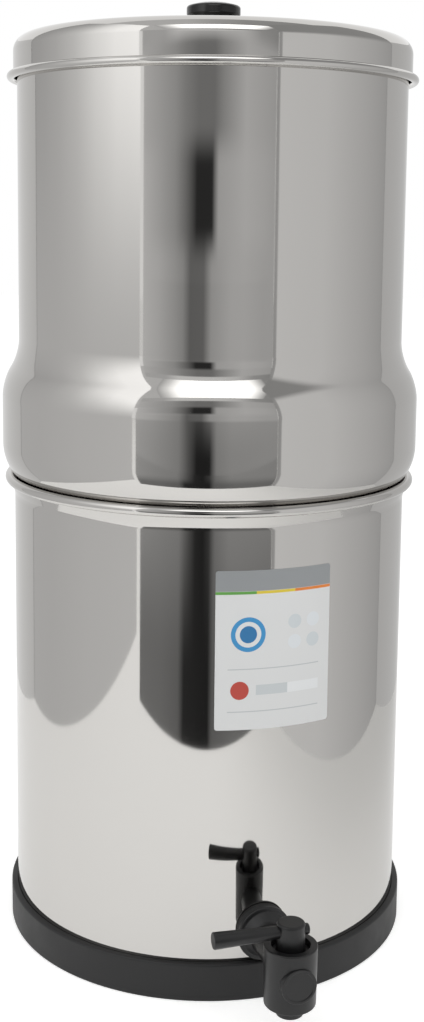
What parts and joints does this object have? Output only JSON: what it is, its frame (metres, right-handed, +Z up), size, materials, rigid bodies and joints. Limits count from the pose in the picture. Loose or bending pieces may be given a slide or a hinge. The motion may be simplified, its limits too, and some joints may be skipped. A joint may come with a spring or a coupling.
{
  "type": "gravity water filter",
  "caption": "Tall polished steel gravity water filter: an upper chamber with filter candles, a lower chamber with a lever tap, a lid with a knob and a rubber foot ring.",
  "frame": {"origin": "middle of the foot ring's underside, where the filter stands", "axes": "+Z up, -Y towards the tap, +X to the right seen from the tap's side"},
  "size_m": [0.2204, 0.2684, 0.4908],
  "materials": {
    "polished_steel": "mirror polished",
    "ring_rubber": "satin",
    "washer_rubber": "matte",
    "label_paper": "semi-gloss print",
    "tap_plastic": "satin",
    "knob_plastic": "gloss",
    "candle_ceramic": "matte, porous",
    "candle_carbon": "matte",
    "mount_plastic": "satin",
    "screw_steel": "plain"
  },
  "bodies": {
    "lower": {"base_ring": "ring_rubber", "lower_chamber": "polished_steel", "label": "label_paper", "tap_outer_washer": "washer_rubber", "tap_body": "tap_plastic", "tap_inner_washer": "washer_rubber", "tap_back_nut": "tap_plastic"},
    "tap_key": {"tap_key": "tap_plastic", "tap_lever": "tap_plastic"},
    "upper": {"upper_chamber": "polished_steel", "candle_shell_1": "candle_ceramic", "candle_core_1": "candle_carbon", "candle_mount_1": "mount_plastic", "candle_washer_1": "washer_rubber", "candle_nut_1": "mount_plastic", "candle_shell_2": "candle_ceramic", "candle_core_2": "candle_carbon", "candle_mount_2": "mount_plastic", "candle_washer_2": "washer_rubber", "candle_nut_2": "mount_plastic", "candle_shell_3": "candle_ceramic", "candle_core_3": "candle_carbon", "candle_mount_3": "mount_plastic", "candle_washer_3": "washer_rubber", "candle_nut_3": "mount_plastic", "candle_shell_4": "candle_ceramic", "candle_core_4": "candle_carbon", "candle_mount_4": "mount_plastic", "candle_washer_4": "washer_rubber", "candle_nut_4": "mount_plastic"},
    "lid": {"lid": "polished_steel", "knob": "knob_plastic", "knob_washer": "washer_rubber", "knob_screw": "screw_steel"}
  },
  "joints": [
    {"name": "tap_turn", "type": "hinge", "parent": "lower", "child": "tap_key", "pos_m": [0, -0.145, 0.0338], "axis": [0, 0, 1], "range_deg": [0, 90]},
    {"name": "upper_lift", "type": "slide", "parent": "lower", "child": "upper", "axis": [0, 0, 1], "range_m": [0, 0.1]},
    {"name": "lid_lift", "type": "slide", "parent": "upper", "child": "lid", "axis": [0, 0, 1], "range_m": [0, 0.06]}
  ]
}
